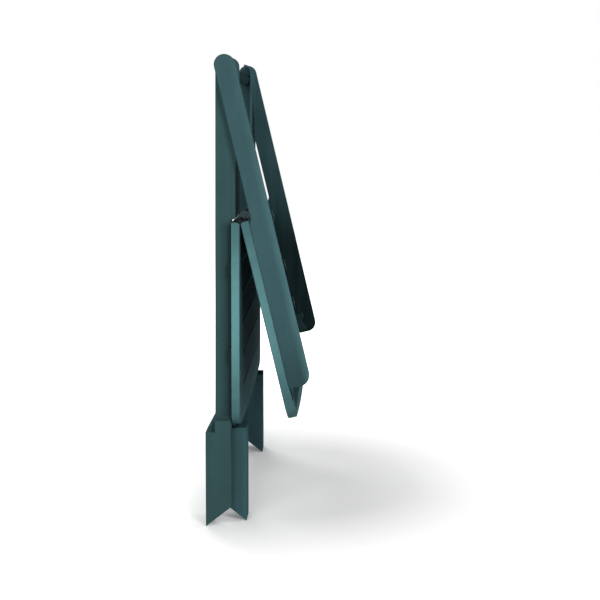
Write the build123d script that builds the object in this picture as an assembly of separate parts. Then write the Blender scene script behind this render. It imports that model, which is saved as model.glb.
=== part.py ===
from build123d import *
import math
import os

# A folding garden table of moulded resin, modelled folded up for storage.
# Two pairs of legs cross at an axle. Rails pivot on the tops of the outer legs and carry a fixed leaf.
# A folding leaf is hinged to the fixed leaf on the table surface, so the leaves close face to face.
# Lengths are in millimetres and angles in degrees: x to the right, y away from the near side, z up.
# Pieces are drawn about the rail pivot and moved at the end, so that the feet stand on z = 0.

# The table as it stands open
TABLE_HEIGHT = 700.0
TOP_WIDTH = 720.0
LEAN = 38.0
TOP_ABOVE_PIVOT = 40.0
HINGE_REACH = 285.0

# How it folds
NEST_GAP = 2.0
RUNNING_GAP = 0.05
WASHER_PLAY = 0.1

# Rails
RAIL_THICK = 18.0
RAIL_HALF = 19.0
RAIL_RISE = 5.0
RAIL_RISE_LENGTH = 10.0
RAIL_LENGTH = 612.0
RAIL_END_RADIUS = 20.0
RAIL_CORNER_RADIUS = 4.0
RAIL_SKIN = 6.0
RAIL_WALL = 5.0
RAIL_EDGE = 2.5
LUG_REACHES = (42.0, 162.0, 252.0)
LUG_LENGTH = 26.0
LUG_WIDTH = 20.0
LUG_THICK = 6.0

# Leaves
LEAF_SIDE = 385.0
LEAF_BOW = 13.0
LEAF_CORNER_RADIUS = 30.0
LEAF_INSET = 3.0
LEAF_SKIN = 3.5
LEAF_RIM = 6.0
LEAF_EDGE = 2.0
SLIT_FIRST = 77.0
SLAT_PITCH = 61.0
SLIT_COUNT = 5
SLIT_WIDTH = 4.0
SLIT_HALF_LENGTH = 287.0
SLIT_WALL = 3.0
LEAF_BAND = 34.0
LEAF_BAND_WALL = 6.0
PAD_REACHES = (90.0, 250.0)
PAD_LENGTH = 24.0
PAD_WIDTH = 12.0
PAD_PLAY = 0.2

# Hinges of the leaves
HINGE_LENGTH = 42.0
HINGE_PLATE = 2.5
HINGE_PLATE_HEIGHT = 12.0
HINGE_PLATE_GAP = 0.5
KNUCKLE_RADIUS = 4.5
KNUCKLE_LENGTH = 13.5
KNUCKLE_PLAY = 0.4
KNUCKLE_CLEARANCE = 0.7
HINGE_PIN_RADIUS = 2.0
HINGE_SCREW_SPREAD = 26.0

# Legs and feet
LEG_THICK = 22.0
LEG_HALF = 17.5
LEG_NEST = 9.8
LEG_BACK = 20.0
LEG_SKIN = 8.0
LEG_WALL = 6.0
LEG_RIB = 5.0
LEG_EDGE = 1.5
POCKET_PITCH = 90.0
POCKET_LEAST = 15.0
POCKET_RADIUS = 4.0
NEST_ABOVE_HINGE = 1.0
NEST_SLOPE = 2.0
PIVOT_GAP = 1.0
AXLE_GAP = 1.5
FOOT_OUT = 37.5
FOOT_INSET = 1.0
FOOT_LIP = 9.0
FLARE_ABOVE = 11.0
FLARE_LENGTH = 34.0
FLANGE_DEPTH = 60.0
FLANGE_THICK = 6.0
SIDE_WALL = 4.0
SIDE_WALL_DEPTH = 118.0
TAPER_LENGTH = 50.0

# Axle, pivots and cross members
AXLE_RADIUS = 5.0
AXLE_INTO_LEG = 15.0
AXLE_BLOCK = 27.0
AXLE_WASHER_RADIUS = 9.0
PIVOT_RADIUS = 7.0
PIVOT_INTO_LEG = 18.0
PIVOT_INTO_RAIL = 12.0
PIVOT_WASHER_RADIUS = 15.0
BAR_RADIUS = 12.0
BAR_DROP = 15.0
BAR_TENON_RADIUS = 8.0
BAR_TENON = 9.0
STRETCHER_A_THICK = 15.0
STRETCHER_A_HEIGHT = 50.0
STRETCHER_B_THICK = 16.0
STRETCHER_B_HEIGHT = 58.0
STRETCHER_B_BELOW_AXLE = 76.0
STRETCHER_B_BEHIND_NEST = 4.0
STRETCHER_TENON = 10.0
TENON_SHOULDER = 4.0
BLOCK_MARGIN = 8.0

# Cradles that catch the top bar when the table stands open
CRADLE_Y = 150.0
CRADLE_WIDTH = 26.0
CRADLE_WALL = 7.0
CRADLE_PLAY = 0.5
CRADLE_SHORT = 6.5
CRADLE_EAR = 15.0
CRADLE_EAR_THICK = 6.0

# Screws
SCREW_RADIUS = 2.0
SCREW_HEAD_RADIUS = 4.5
SCREW_HEAD_HEIGHT = 2.8
PLATE_SCREW_RADIUS = 1.5
PLATE_SCREW_HEAD_RADIUS = 2.8
PLATE_SCREW_HEAD_HEIGHT = 1.6
PLATE_SCREW_LENGTH = 12.0
LEG_SCREW_LENGTH = 46.0
SCREW_TIP_GAP = 1.0

# Layers across the width, as distances from the middle
RAIL_OUT_Y = TOP_WIDTH / 2
RAIL_IN_Y = RAIL_OUT_Y - RAIL_THICK
LEG_A_OUT_Y = RAIL_IN_Y - PIVOT_GAP
LEG_A_IN_Y = LEG_A_OUT_Y - LEG_THICK
LEG_B_OUT_Y = LEG_A_IN_Y - AXLE_GAP
LEG_B_IN_Y = LEG_B_OUT_Y - LEG_THICK
FOOT_A_OUT_Y = RAIL_OUT_Y - FOOT_INSET
LEAF_HALF_WIDTH = RAIL_OUT_Y - LEAF_INSET
LEAF_BAND_IN_Y = RAIL_IN_Y - LEAF_BAND
HINGE_OUT_Y = LEAF_HALF_WIDTH - HINGE_LENGTH / 2

# Places that follow from the driving sizes
LEAN_SIN = math.sin(math.radians(LEAN))
LEAN_COS = math.cos(math.radians(LEAN))
LEAN_TAN = LEAN_SIN / LEAN_COS
LEAF_UNDER = RAIL_HALF + RAIL_RISE
LEAF_THICK = TOP_ABOVE_PIVOT - LEAF_UNDER
LEAF_END_GAP = HINGE_PLATE + HINGE_PLATE_GAP
HINGE_X = LEG_NEST + NEST_GAP + LEAF_THICK
HINGE_Z = -math.sqrt(HINGE_REACH**2 + TOP_ABOVE_PIVOT**2 - HINGE_X**2)
RAIL_TILT = math.degrees(math.atan2(TOP_ABOVE_PIVOT, HINGE_REACH) + math.atan2(HINGE_X, -HINGE_Z))
AXLE_Z = -HINGE_REACH / LEAN_SIN
BAR_ARM = -AXLE_Z - BAR_DROP
BAR_REACH = (BAR_ARM - AXLE_Z) * LEAN_SIN
BAR_BELOW = BAR_DROP * LEAN_COS
FLOOR_Z = -(TABLE_HEIGHT - TOP_ABOVE_PIVOT + FOOT_OUT * LEAN_SIN) / LEAN_COS
FOOT_IN_Z = FLOOR_Z + (FOOT_OUT + LEG_NEST) * LEAN_TAN
NEST_Z = HINGE_Z + NEST_ABOVE_HINGE
FOOT_A_TOP_Z = HINGE_Z - LEAF_SIDE + FOOT_LIP
LEDGE_B_Z = HINGE_Z - LEAF_SIDE - LEAF_BOW
FLARE_Z = FOOT_A_TOP_Z + FLARE_ABOVE
STRETCHER_A_Z = (FLARE_Z - FLARE_LENGTH + FOOT_IN_Z) / 2
STRETCHER_A_X = -FOOT_OUT + FLANGE_THICK + STRETCHER_A_THICK / 2
STRETCHER_B_Z = AXLE_Z - STRETCHER_B_BELOW_AXLE - STRETCHER_B_HEIGHT / 2
STRETCHER_B_X = LEG_NEST - STRETCHER_B_BEHIND_NEST - STRETCHER_B_THICK / 2
FOLD_TURN = 180.0 - RAIL_TILT
TOP_TURN = 270.0 - RAIL_TILT + LEAN


def prism(points, y_low, y_high):
    """A flat piece with a side outline given as (x, z) points."""
    face = make_face(Polyline(*points, close=True))
    return extrude(Plane.XZ.offset(-y_high) * face, amount=y_high - y_low, dir=(0, -1, 0))


def block(x_low, x_high, y_low, y_high, z_low, z_high):
    """A plain block between two corners."""
    middle = Pos((x_low + x_high) / 2, (y_low + y_high) / 2, (z_low + z_high) / 2)
    return middle * Box(x_high - x_low, y_high - y_low, z_high - z_low)


def rod(x, z, radius, y_low, y_high):
    """A round bar across the table."""
    return Pos(x, (y_low + y_high) / 2, z) * Rot(90, 0, 0) * Cylinder(radius, y_high - y_low)


def ring(x, z, outer, inner, y_low, y_high):
    """A washer or knuckle across the table."""
    return rod(x, z, outer, y_low, y_high) - rod(x, z, inner, y_low, y_high)


def screw(radius, head_radius, head_height, length):
    """A countersunk screw along +z with its flat head at the origin, pointing up."""
    head = Pos(0, 0, head_height / 2) * Cone(head_radius, radius, head_height)
    shank_length = length - head_height
    return head + Pos(0, 0, head_height + shank_length / 2) * Cylinder(radius, shank_length)


def far(piece):
    """The same piece on the far side of the table."""
    return mirror(piece, Plane.XZ)


def both(piece):
    """Separate copies on the near and the far side."""
    return [piece, far(piece)]


def on_top(piece):
    """Tilts what was drawn hanging straight down from the rail pivot."""
    return Rot(0, -RAIL_TILT, 0) * piece


def on_fixed_leaf(piece):
    """Places what was drawn about the hinge axis, hanging down with the underside towards +x."""
    return on_top(Pos(-TOP_ABOVE_PIVOT, 0, -HINGE_REACH) * piece)


def on_folding_leaf(piece):
    """Places what was drawn as for the fixed leaf on the folding leaf, which hangs upright."""
    return Pos(HINGE_X, 0, HINGE_Z) * mirror(piece, Plane.YZ)


def pocket(x_low, x_high, z_low, z_high, y_low, y_high):
    """A pocket with rounded corners, cut from the side."""
    width = x_high - x_low
    height = z_high - z_low
    radius = min(POCKET_RADIUS, 0.4 * width, 0.4 * height)
    face = Pos((x_low + x_high) / 2, (z_low + z_high) / 2) * RectangleRounded(width, height, radius)
    return extrude(Plane.XZ.offset(-y_high) * face, amount=y_high - y_low, dir=(0, -1, 0))


def pocket_column(x_low, x_high, z_low, z_high, y_low, y_high):
    """Pockets one above another with ribs between them."""
    count = max(0, math.ceil((z_high - z_low - POCKET_LEAST) / POCKET_PITCH))
    step = (z_high - z_low + LEG_RIB) / max(1, count)
    return [
        pocket(x_low, x_high, z_low + i * step, z_low + (i + 1) * step - LEG_RIB, y_low, y_high)
        for i in range(count)
    ]


def outer_face_edges(piece, y):
    """The edges of the flat faces that lie on one plane across y."""
    faces = [face for face in piece.faces().filter_by(Axis.Y) if abs(face.center().Y - y) < 0.01]
    return [edge for face in faces for edge in face.outer_wire().edges()]


def upper_pockets(y_low, y_high, top_z):
    """The hollows of a leg's side from its top down to the axle."""
    wide = LEG_HALF - LEG_WALL
    narrow = LEG_NEST - LEG_WALL
    slope_top = NEST_Z + NEST_SLOPE + LEG_RIB
    return [
        *pocket_column(-wide, wide, slope_top, top_z, y_low, y_high),
        *pocket_column(-wide, narrow, AXLE_Z + AXLE_BLOCK, NEST_Z, y_low, y_high),
    ]


def leg_a():
    """An outer leg, near side: a ribbed channel with a flared foot that stands proud."""
    outline = [
        (LEG_HALF, 0),
        (LEG_HALF, NEST_Z + NEST_SLOPE),
        (LEG_NEST, NEST_Z),
        (LEG_NEST, FOOT_IN_Z),
        (-FOOT_OUT, FLOOR_Z),
        (-FOOT_OUT, FLARE_Z - FLARE_LENGTH),
        (-LEG_BACK, FLARE_Z),
        (-LEG_HALF, 0),
    ]
    shoe = [
        (LEG_NEST, FOOT_A_TOP_Z),
        (LEG_NEST, FOOT_IN_Z),
        (-FOOT_OUT, FLOOR_Z),
        (-FOOT_OUT, FLARE_Z - FLARE_LENGTH),
        (-LEG_BACK, FLARE_Z - FLARE_LENGTH),
        (-LEG_BACK, FOOT_A_TOP_Z),
    ]
    flange_rise = FLANGE_THICK * LEAN_TAN
    flange = [
        (-FOOT_OUT, FLARE_Z - FLARE_LENGTH),
        (-FOOT_OUT + FLANGE_THICK, FLARE_Z - FLARE_LENGTH),
        (-FOOT_OUT + FLANGE_THICK, FLOOR_Z + flange_rise),
        (-FOOT_OUT, FLOOR_Z),
    ]
    leg = prism(outline, -LEG_A_OUT_Y, -LEG_A_IN_Y) + rod(0, 0, LEG_HALF, -LEG_A_OUT_Y, -LEG_A_IN_Y)
    leg += prism(shoe, -FOOT_A_OUT_Y, -LEG_A_OUT_Y)
    leg = fillet(outer_face_edges(leg, -FOOT_A_OUT_Y), LEG_EDGE)
    leg += prism(flange, -LEG_A_IN_Y, -FOOT_A_OUT_Y + FLANGE_DEPTH)
    skin_y = -LEG_A_OUT_Y + LEG_SKIN
    foot_skin_y = -FOOT_A_OUT_Y + LEG_SKIN
    stretcher_top = STRETCHER_A_Z + STRETCHER_A_HEIGHT / 2 + BLOCK_MARGIN
    stretcher_low = STRETCHER_A_Z - STRETCHER_A_HEIGHT / 2 - BLOCK_MARGIN
    pockets = upper_pockets(skin_y, -LEG_A_IN_Y, -PIVOT_WASHER_RADIUS - LEG_RIB)
    pockets += pocket_column(-LEG_HALF + LEG_WALL, LEG_NEST - LEG_WALL, FOOT_A_TOP_Z + LEG_RIB,
                             AXLE_Z - AXLE_BLOCK, skin_y, -LEG_A_IN_Y)
    pockets += pocket_column(-FOOT_OUT + FLANGE_THICK, LEG_NEST - LEG_WALL, stretcher_top,
                             FLARE_Z - FLARE_LENGTH - LEG_RIB, foot_skin_y, -LEG_A_IN_Y)
    sole_pocket = [
        (-FOOT_OUT + FLANGE_THICK, stretcher_low),
        (LEG_NEST - LEG_WALL, stretcher_low),
        (LEG_NEST - LEG_WALL, FOOT_IN_Z + LEG_WALL),
        (-FOOT_OUT + FLANGE_THICK, FLOOR_Z + flange_rise + LEG_SKIN),
    ]
    if sole_pocket[2][1] < stretcher_low - LEG_RIB:
        pockets.append(prism(sole_pocket, foot_skin_y, -LEG_A_IN_Y))
    leg -= pockets
    leg -= rod(0, 0, PIVOT_RADIUS, -LEG_A_OUT_Y, -LEG_A_OUT_Y + PIVOT_INTO_LEG)
    leg -= rod(0, AXLE_Z, AXLE_RADIUS + RUNNING_GAP, -LEG_A_IN_Y - AXLE_INTO_LEG - WASHER_PLAY, -LEG_A_IN_Y)
    leg -= stretcher_a()
    return leg


def leg_b():
    """An inner leg, near side: smooth inside, a deep wall along its upper part, a deep hollow foot."""
    outline = [
        (LEG_HALF, 0),
        (LEG_HALF, NEST_Z + NEST_SLOPE),
        (LEG_NEST, NEST_Z),
        (LEG_NEST, LEDGE_B_Z),
        (FOOT_OUT, LEDGE_B_Z),
        (FOOT_OUT, FLOOR_Z),
        (-LEG_NEST, FOOT_IN_Z),
        (-LEG_NEST, LEDGE_B_Z),
        (-LEG_HALF, LEDGE_B_Z + TAPER_LENGTH),
        (-LEG_HALF, 0),
    ]
    foot = [
        (FOOT_OUT, LEDGE_B_Z),
        (FOOT_OUT, FLOOR_Z),
        (-LEG_NEST, FOOT_IN_Z),
        (-LEG_NEST, LEDGE_B_Z),
    ]
    foot_hollow = [
        (FOOT_OUT - FLANGE_THICK, LEDGE_B_Z - FLANGE_THICK),
        (FOOT_OUT - FLANGE_THICK, FLOOR_Z + FLANGE_THICK * LEAN_TAN + LEG_SKIN),
        (-LEG_HALF, FOOT_IN_Z + (LEG_HALF - LEG_NEST) * LEAN_TAN + LEG_SKIN),
        (-LEG_HALF, LEDGE_B_Z - FLANGE_THICK),
    ]
    leg = prism(outline, -LEG_B_OUT_Y, -LEG_B_IN_Y)
    leg += rod(0, 0, LEG_HALF, -LEG_B_OUT_Y, -LEG_B_IN_Y)
    leg = fillet(outer_face_edges(leg, -LEG_B_OUT_Y), LEG_EDGE)
    leg += prism(foot, -LEG_B_IN_Y, -LEG_B_OUT_Y + FLANGE_DEPTH)
    leg -= prism(foot_hollow, -LEG_B_OUT_Y + LEG_SKIN, -LEG_B_OUT_Y + FLANGE_DEPTH - FLANGE_THICK)
    wall_y = -LEG_B_OUT_Y + SIDE_WALL_DEPTH
    wall_x = LEG_HALF - SIDE_WALL
    leg += block(wall_x, LEG_HALF, -LEG_B_IN_Y, wall_y, NEST_Z + NEST_SLOPE, 0)
    lip = ring(0, 0, LEG_HALF, wall_x, -LEG_B_IN_Y, wall_y)
    leg += lip & block(0, LEG_HALF, -LEG_B_IN_Y, wall_y, 0, LEG_HALF)
    low_y = -LEG_B_OUT_Y
    skin_y = -LEG_B_IN_Y - LEG_SKIN
    stretcher_top = STRETCHER_B_Z + STRETCHER_B_HEIGHT / 2 + BLOCK_MARGIN
    stretcher_low = STRETCHER_B_Z - STRETCHER_B_HEIGHT / 2 - BLOCK_MARGIN
    wide = LEG_HALF - LEG_WALL
    narrow = LEG_NEST - LEG_WALL
    pockets = upper_pockets(low_y, skin_y, -BAR_DROP - BAR_RADIUS - LEG_RIB)
    pockets += pocket_column(-wide, narrow, stretcher_top, AXLE_Z - AXLE_BLOCK, low_y, skin_y)
    pockets += pocket_column(-wide, narrow, LEDGE_B_Z + TAPER_LENGTH, stretcher_low, low_y, skin_y)
    leg -= pockets
    leg -= rod(0, AXLE_Z, AXLE_RADIUS + RUNNING_GAP, -LEG_B_OUT_Y, -LEG_B_IN_Y)
    leg -= rod(0, -BAR_DROP, BAR_TENON_RADIUS, -LEG_B_IN_Y - BAR_TENON, -LEG_B_IN_Y)
    leg -= bar_screw()
    leg -= stretcher_b_screws_near()
    return leg


def cross_axle():
    """The steel axle on which both frames turn, hidden at both ends."""
    end_y = LEG_A_IN_Y + AXLE_INTO_LEG
    return rod(0, AXLE_Z, AXLE_RADIUS, -end_y, end_y)


def axle_washers():
    """Plain washers between the two frames."""
    washer = ring(0, AXLE_Z, AXLE_WASHER_RADIUS, AXLE_RADIUS,
                  -LEG_A_IN_Y + WASHER_PLAY, -LEG_B_OUT_Y - WASHER_PLAY)
    return both(washer)


def rail_pivot_pin():
    """A stub pin held in the outer leg, on which the near rail turns."""
    return rod(0, 0, PIVOT_RADIUS, -RAIL_IN_Y - PIVOT_INTO_RAIL, -LEG_A_OUT_Y + PIVOT_INTO_LEG)


def pivot_washers():
    """Plain washers between the rails and the outer legs."""
    washer = ring(0, 0, PIVOT_WASHER_RADIUS, PIVOT_RADIUS,
                  -RAIL_IN_Y + WASHER_PLAY, -LEG_A_OUT_Y - WASHER_PLAY)
    return both(washer)


def stretcher_a():
    """The low cross member of the outer frame, tenoned into the feet."""
    half = STRETCHER_A_THICK / 2
    low = STRETCHER_A_Z - STRETCHER_A_HEIGHT / 2
    high = STRETCHER_A_Z + STRETCHER_A_HEIGHT / 2
    board = block(STRETCHER_A_X - half, STRETCHER_A_X + half, -LEG_A_IN_Y, LEG_A_IN_Y, low, high)
    end_y = LEG_A_IN_Y + STRETCHER_TENON
    return board + block(STRETCHER_A_X - half + TENON_SHOULDER, STRETCHER_A_X + half - TENON_SHOULDER,
                         -end_y, end_y, low + TENON_SHOULDER, high - TENON_SHOULDER)


def stretcher_b():
    """The board of the inner frame below the axle, screwed between the legs."""
    half = STRETCHER_B_THICK / 2
    board = block(STRETCHER_B_X - half, STRETCHER_B_X + half, -LEG_B_IN_Y, LEG_B_IN_Y,
                  STRETCHER_B_Z - STRETCHER_B_HEIGHT / 2, STRETCHER_B_Z + STRETCHER_B_HEIGHT / 2)
    return board - stretcher_b_screws()


def leg_screw(x, z):
    """A countersunk screw through the near inner leg, head on the leg's outer face."""
    shape = screw(SCREW_RADIUS, SCREW_HEAD_RADIUS, SCREW_HEAD_HEIGHT, LEG_SCREW_LENGTH)
    return Pos(x, -LEG_B_OUT_Y, z) * Rot(-90, 0, 0) * shape


def stretcher_b_screws_near():
    """The two screws at the near end of the inner frame's board."""
    spread = STRETCHER_B_HEIGHT / 4
    return [leg_screw(STRETCHER_B_X, STRETCHER_B_Z + side * spread) for side in (1, -1)]


def stretcher_b_screws():
    """All screws of the inner frame's board."""
    near = stretcher_b_screws_near()
    return near + [far(item) for item in near]


def bar_screw():
    """The screw that holds the near end of the top bar."""
    return leg_screw(0, -BAR_DROP)


def top_bar():
    """The round bar across the top of the inner frame."""
    end_y = LEG_B_IN_Y + BAR_TENON
    bar = rod(0, -BAR_DROP, BAR_RADIUS, -LEG_B_IN_Y, LEG_B_IN_Y)
    bar += rod(0, -BAR_DROP, BAR_TENON_RADIUS, -end_y, end_y)
    return bar - both(bar_screw())


def rail():
    """The near rail, hanging straight down: raised under the fixed leaf, hollow from its underside."""
    rise_start = HINGE_REACH
    rise_end = HINGE_REACH + RAIL_RISE_LENGTH
    outline = Polyline(
        (RAIL_HALF, 0),
        (RAIL_HALF, -RAIL_LENGTH),
        (-LEAF_UNDER, -RAIL_LENGTH),
        (-LEAF_UNDER, -rise_end),
        (-RAIL_HALF, -rise_start),
        (-RAIL_HALF, 0),
        close=True,
    )
    face = make_face(outline)
    low_corners = face.vertices().group_by(Axis.Y)[0].sort_by(Axis.X)
    face = fillet(low_corners[-1], RAIL_END_RADIUS)
    face = fillet(face.vertices().group_by(Axis.Y)[0].sort_by(Axis.X)[0], RAIL_CORNER_RADIUS)
    face += Circle(RAIL_HALF)
    body = extrude(Plane.XZ.offset(RAIL_IN_Y) * face, amount=RAIL_THICK, dir=(0, -1, 0))
    body = fillet(outer_face_edges(body, -RAIL_OUT_Y), RAIL_EDGE)
    skin_y = -RAIL_OUT_Y + RAIL_SKIN
    wall_y = -RAIL_IN_Y - RAIL_WALL
    roof_x = -RAIL_HALF + RAIL_WALL
    open_x = RAIL_HALF + POCKET_RADIUS
    pivot_end = -PIVOT_WASHER_RADIUS - LEG_RIB
    body -= pocket(roof_x, open_x, -rise_start, pivot_end, skin_y, wall_y)
    body -= pocket(roof_x, open_x, -RAIL_LENGTH + RAIL_END_RADIUS, -rise_end, skin_y, wall_y)
    body -= rod(0, 0, PIVOT_RADIUS + RUNNING_GAP, -RAIL_IN_Y - PIVOT_INTO_RAIL - WASHER_PLAY, -RAIL_IN_Y)
    for reach in LUG_REACHES:
        z = -HINGE_REACH - reach
        body += block(-LEAF_UNDER, -LEAF_UNDER + LUG_THICK, -RAIL_IN_Y, -RAIL_IN_Y + LUG_WIDTH,
                      z - LUG_LENGTH / 2, z + LUG_LENGTH / 2)
        body -= leaf_screw(reach)
    return body


def leaf_screw(reach):
    """A screw up through a rail lug into the fixed leaf, hanging straight down."""
    length = LUG_THICK + LEAF_THICK - LEAF_SKIN - SCREW_TIP_GAP
    shape = screw(SCREW_RADIUS, SCREW_HEAD_RADIUS, SCREW_HEAD_HEIGHT, length)
    place = Pos(-LEAF_UNDER + LUG_THICK, -RAIL_IN_Y + LUG_WIDTH / 2, -HINGE_REACH - reach)
    return place * Rot(0, -90, 0) * shape


def leaf_screws():
    """All screws that hold the fixed leaf on its rails."""
    near = [leaf_screw(reach) for reach in LUG_REACHES]
    return [on_top(item) for item in near + [far(item) for item in near]]


def leaf_plan(inset):
    """A leaf's outline seen on its face: straight at the hinge, bowed at the free end."""
    half = LEAF_HALF_WIDTH - inset
    start = -LEAF_END_GAP - inset
    side = -LEAF_SIDE + inset
    bow = side - LEAF_BOW
    outline = Polyline((half, side), (half, start), (-half, start), (-half, side))
    outline += ThreePointArc((-half, side), (0, bow), (half, side))
    face = make_face(outline)
    corners = face.vertices().group_by(Axis.Y)[0]
    return fillet(corners, LEAF_CORNER_RADIUS - inset)


def across(face, depth, start):
    """A leaf feature drawn on the leaf's face, from a depth below the table surface downwards."""
    plane = Plane(origin=(start, 0, 0), x_dir=(0, 1, 0), z_dir=(1, 0, 0))
    return extrude(plane * face, amount=depth, dir=(1, 0, 0))


def slat_spans():
    """Where each slat's hollow starts and ends, as reaches from the hinge axis."""
    slits = [SLIT_FIRST + i * SLAT_PITCH for i in range(SLIT_COUNT)]
    edge = SLIT_WIDTH / 2 + SLIT_WALL
    starts = [LEAF_END_GAP + LEAF_RIM + KNUCKLE_RADIUS] + [slit + edge for slit in slits]
    ends = [slit - edge for slit in slits] + [LEAF_SIDE - LEAF_RIM]
    return list(zip(starts, ends))


def leaf_hollow(y_low, y_high, reach_low, reach_high):
    """A hollow in the underside of a leaf."""
    width = y_high - y_low
    height = reach_high - reach_low
    radius = min(POCKET_RADIUS, 0.4 * width, 0.4 * height)
    middle = Pos((y_low + y_high) / 2, -(reach_low + reach_high) / 2)
    face = middle * RectangleRounded(width, height, radius)
    return across(face, LEAF_THICK - LEAF_SKIN, LEAF_SKIN)


def band_spans():
    """Hollows along a leaf's side band, between the bosses over the rail lugs."""
    edge = LUG_LENGTH / 2
    starts = [LEAF_END_GAP + HINGE_PLATE_HEIGHT + LEAF_RIM] + [reach + edge for reach in LUG_REACHES]
    ends = [reach - edge for reach in LUG_REACHES] + [LEAF_SIDE - LEAF_CORNER_RADIUS]
    return [(low, high) for low, high in zip(starts, ends) if high - low > 2 * LEAF_RIM]


def hinge_places():
    """The middles of the three hinges."""
    return {"near": -HINGE_OUT_Y, "mid": 0.0, "far": HINGE_OUT_Y}


def leaf():
    """A leaf hanging from the hinge axis, its table surface at x = 0 and its underside towards +x."""
    body = across(leaf_plan(0), LEAF_THICK, 0)
    surface = body.faces().sort_by(Axis.X)[0]
    rim = [edge for edge in surface.edges() if edge.center().Z < -LEAF_END_GAP - LEAF_EDGE]
    body = fillet(rim, LEAF_EDGE)
    hollows = []
    for low, high in slat_spans():
        inner = LEAF_BAND_IN_Y - LEAF_BAND_WALL
        hollows.append(leaf_hollow(-inner, inner, low, high))
    for low, high in band_spans():
        hollows.append(leaf_hollow(-RAIL_IN_Y, -LEAF_BAND_IN_Y, low, high))
        hollows.append(leaf_hollow(LEAF_BAND_IN_Y, RAIL_IN_Y, low, high))
    body -= hollows
    half = SLIT_HALF_LENGTH
    for i in range(SLIT_COUNT):
        middle = Pos(0, -SLIT_FIRST - i * SLAT_PITCH)
        body -= across(middle * SlotOverall(2 * half, SLIT_WIDTH), LEAF_THICK, 0)
    cut_radius = KNUCKLE_RADIUS + KNUCKLE_CLEARANCE
    for y in hinge_places().values():
        reach = HINGE_LENGTH / 2 + KNUCKLE_PLAY
        body -= rod(0, 0, cut_radius, y - reach, y + reach)
        body -= hinge_screws_at(y)
    return body


def hinge_plate(y, knuckles, spaces):
    """One half of a hinge on a leaf's end face: a plate with knuckles, cut back beside the other half's."""
    half = HINGE_LENGTH / 2
    plate = block(0, HINGE_PLATE_HEIGHT, y - half, y + half, -LEAF_END_GAP, -HINGE_PLATE_GAP)
    for low, high in spaces:
        room = KNUCKLE_RADIUS + KNUCKLE_CLEARANCE
        plate -= rod(0, 0, room, y + low - KNUCKLE_PLAY, y + high + KNUCKLE_PLAY)
    for low, high in knuckles:
        plate += rod(0, 0, KNUCKLE_RADIUS, y + low, y + high)
    return plate - hinge_screws_at(y)


def knuckle_spans():
    """The outer knuckles of the fixed half and the middle knuckle of the moving half."""
    half = HINGE_LENGTH / 2
    outer = [(-half, -half + KNUCKLE_LENGTH), (half - KNUCKLE_LENGTH, half)]
    middle = [(-half + KNUCKLE_LENGTH + KNUCKLE_PLAY, half - KNUCKLE_LENGTH - KNUCKLE_PLAY)]
    return outer, middle


def hinge_fixed(y):
    """The half of a hinge that is screwed to the fixed leaf."""
    outer, middle = knuckle_spans()
    return hinge_plate(y, outer, middle) - rod(0, 0, HINGE_PIN_RADIUS, y - HINGE_LENGTH, y + HINGE_LENGTH)


def hinge_moving(y):
    """The half of a hinge that is screwed to the folding leaf."""
    outer, middle = knuckle_spans()
    bore = rod(0, 0, HINGE_PIN_RADIUS + RUNNING_GAP, y - HINGE_LENGTH, y + HINGE_LENGTH)
    return hinge_plate(y, middle, outer) - bore


def hinge_screws_at(y):
    """The two screws of one hinge plate, running into the leaf's end face."""
    shape = screw(PLATE_SCREW_RADIUS, PLATE_SCREW_HEAD_RADIUS, PLATE_SCREW_HEAD_HEIGHT, PLATE_SCREW_LENGTH)
    x = (KNUCKLE_RADIUS + KNUCKLE_CLEARANCE + HINGE_PLATE_HEIGHT) / 2
    half = HINGE_SCREW_SPREAD / 2
    return [Pos(x, y + side * half, -HINGE_PLATE_GAP) * Rot(180, 0, 0) * shape for side in (-1, 1)]


def hinge_pins():
    """The pins of the three hinges."""
    half = HINGE_LENGTH / 2
    return [on_fixed_leaf(rod(0, 0, HINGE_PIN_RADIUS, y - half, y + half)) for y in hinge_places().values()]


def cradle_screws_near():
    """The two screws of the near cradle, hanging straight down."""
    length = CRADLE_EAR_THICK + LEAF_THICK - LEAF_SKIN - SCREW_TIP_GAP
    shape = screw(SCREW_RADIUS, SCREW_HEAD_RADIUS, SCREW_HEAD_HEIGHT, length)
    arm = BAR_RADIUS + CRADLE_PLAY + CRADLE_WALL + CRADLE_EAR / 2
    x = -LEAF_UNDER + CRADLE_EAR_THICK
    return [Pos(x, -CRADLE_Y, -BAR_REACH + side * arm) * Rot(0, -90, 0) * shape for side in (-1, 1)]


def cradle():
    """The near cradle under the fixed leaf, a shallow saddle whose arms stop short of the bar's middle."""
    saddle = BAR_RADIUS + CRADLE_PLAY
    body_half = saddle + CRADLE_WALL
    ear_half = body_half + CRADLE_EAR
    mouth = BAR_BELOW - CRADLE_SHORT
    y_low = -CRADLE_Y - CRADLE_WIDTH / 2
    y_high = -CRADLE_Y + CRADLE_WIDTH / 2
    middle = -BAR_REACH
    outline = [
        (-LEAF_UNDER, middle - ear_half),
        (-LEAF_UNDER, middle + ear_half),
        (-LEAF_UNDER + CRADLE_EAR_THICK, middle + ear_half),
        (-LEAF_UNDER + CRADLE_EAR_THICK, middle + body_half),
        (mouth, middle + body_half),
        (mouth, middle - body_half),
        (-LEAF_UNDER + CRADLE_EAR_THICK, middle - body_half),
        (-LEAF_UNDER + CRADLE_EAR_THICK, middle - ear_half),
    ]
    body = prism(outline, y_low, y_high)
    body -= rod(BAR_BELOW, middle, saddle, y_low, y_high)
    return body - cradle_screws_near()


def cradle_screws():
    """All screws of the cradles."""
    near = cradle_screws_near()
    return [on_top(item) for item in near + [far(item) for item in near]]


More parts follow.
